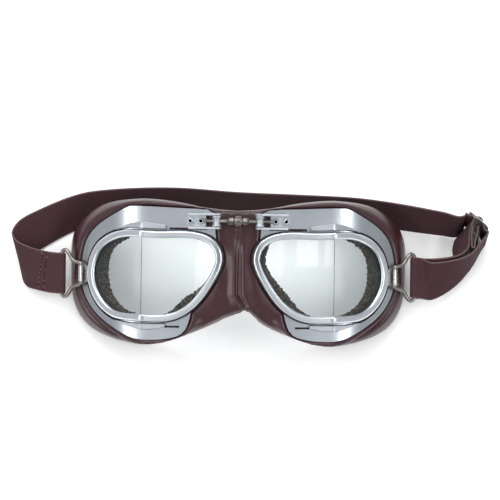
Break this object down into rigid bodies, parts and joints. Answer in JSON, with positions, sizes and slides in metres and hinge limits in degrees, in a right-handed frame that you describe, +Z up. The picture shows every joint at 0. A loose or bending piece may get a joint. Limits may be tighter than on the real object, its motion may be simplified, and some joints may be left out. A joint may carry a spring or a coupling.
{
  "type": "pilot goggles",
  "caption": "Pilot goggles with a moulded rubber mask, angled glass panes in pressed metal frames, a screw-adjusted bridge, wire bails and an elastic head strap.",
  "frame": {"origin": "on the table under the middle of the nose bridge, in the plane of symmetry of the mask and frames", "axes": "+X towards the right-hand eye as seen from above, +Y towards the brow and the strap, +Z up from the table, out through the glass"},
  "size_m": [0.2681, 0.0946, 0.064],
  "materials": {
    "mask_rubber": "matt moulded burgundy rubber",
    "felt": "dark grey-brown felt",
    "ring_steel": "plain pressed steel",
    "satin_metal": "satin plated pressing",
    "nickel": "worn nickel plate",
    "clear_glass": "clear polished glass",
    "elastic": "maroon-brown woven elastic"
  },
  "bodies": {
    "nose_bridge": {"mask_nose_bridge": "mask_rubber", "strap_back": "elastic"},
    "bridge_screw": {"bridge_screw": "nickel"},
    "left_trunnion": {"left_trunnion": "nickel"},
    "left_eye": {"mask_left_cup": "mask_rubber", "left_lining": "felt", "left_retaining_ring": "ring_steel", "left_back_plate": "satin_metal", "left_bezel": "satin_metal", "left_front_lens": "clear_glass", "left_side_lens": "clear_glass", "left_upper_clip": "satin_metal", "left_lower_clip": "satin_metal", "left_bridge_bracket": "satin_metal", "left_inner_rivet": "nickel", "left_outer_rivet": "nickel", "left_temple_lug": "satin_metal", "strap_left_end": "elastic"},
    "left_bail": {"left_bail": "nickel"},
    "right_trunnion": {"right_trunnion": "nickel"},
    "right_eye": {"mask_right_cup": "mask_rubber", "right_lining": "felt", "right_retaining_ring": "ring_steel", "right_back_plate": "satin_metal", "right_bezel": "satin_metal", "right_front_lens": "clear_glass", "right_side_lens": "clear_glass", "right_upper_clip": "satin_metal", "right_lower_clip": "satin_metal", "right_bridge_bracket": "satin_metal", "right_inner_rivet": "nickel", "right_outer_rivet": "nickel", "right_temple_lug": "satin_metal", "strap_right_loop": "elastic"},
    "right_bail": {"right_bail": "nickel"},
    "strap_slider": {"strap_slider": "nickel"}
  },
  "joints": [
    {"name": "left_bridge_slide", "type": "slide", "parent": "nose_bridge", "child": "left_trunnion", "axis": [-1, 0, 0], "range_m": [-0.0016, 0.0016], "deforming": ["mask_nose_bridge", "strap_back"]},
    {"name": "right_bridge_slide", "type": "slide", "parent": "nose_bridge", "child": "right_trunnion", "axis": [1, 0, 0], "range_m": [-0.0016, 0.0016], "deforming": ["mask_nose_bridge", "strap_back"]},
    {"name": "bridge_screw_turn", "type": "hinge", "parent": "nose_bridge", "child": "bridge_screw", "pos_m": [0, 0.02516, 0.06032], "axis": [1, 0, 0], "range_deg": [-720.1, 720.1]},
    {"name": "left_eye_fold", "type": "hinge", "parent": "left_trunnion", "child": "left_eye", "pos_m": [-0.0119, 0.02516, 0.06032], "axis": [0, -0.9613, -0.2756], "range_deg": [-8, 12], "stiffness_Nm_per_rad": 0.5, "deforming": ["mask_nose_bridge", "strap_back"]},
    {"name": "right_eye_fold", "type": "hinge", "parent": "right_trunnion", "child": "right_eye", "pos_m": [0.0119, 0.02516, 0.06032], "axis": [0, 0.9613, 0.2756], "range_deg": [-8, 12], "stiffness_Nm_per_rad": 0.5, "deforming": ["mask_nose_bridge", "strap_back"]},
    {"name": "left_bail_swing", "type": "hinge", "parent": "left_eye", "child": "left_bail", "pos_m": [-0.08765, 0.00548, 0.02049], "axis": [0, -0.9613, -0.2756], "range_deg": [-40, 20], "deforming": ["strap_left_end"]},
    {"name": "right_bail_swing", "type": "hinge", "parent": "right_eye", "child": "right_bail", "pos_m": [0.08765, 0.00548, 0.02049], "axis": [0, 0.9613, 0.2756], "range_deg": [-40, 20], "deforming": ["strap_right_loop"]},
    {"name": "strap_slider_slide", "type": "slide", "parent": "right_eye", "child": "strap_slider", "axis": [-0.7431, 0.6691, 0], "range_m": [-0.004, 0.004], "deforming": ["strap_right_loop", "strap_back"]}
  ],
  "couplings": [
    {"joint": "right_bridge_slide", "follows": "left_bridge_slide", "ratio": 1},
    {"joint": "bridge_screw_turn", "follows": "left_bridge_slide", "rad_per_m": 7854}
  ]
}
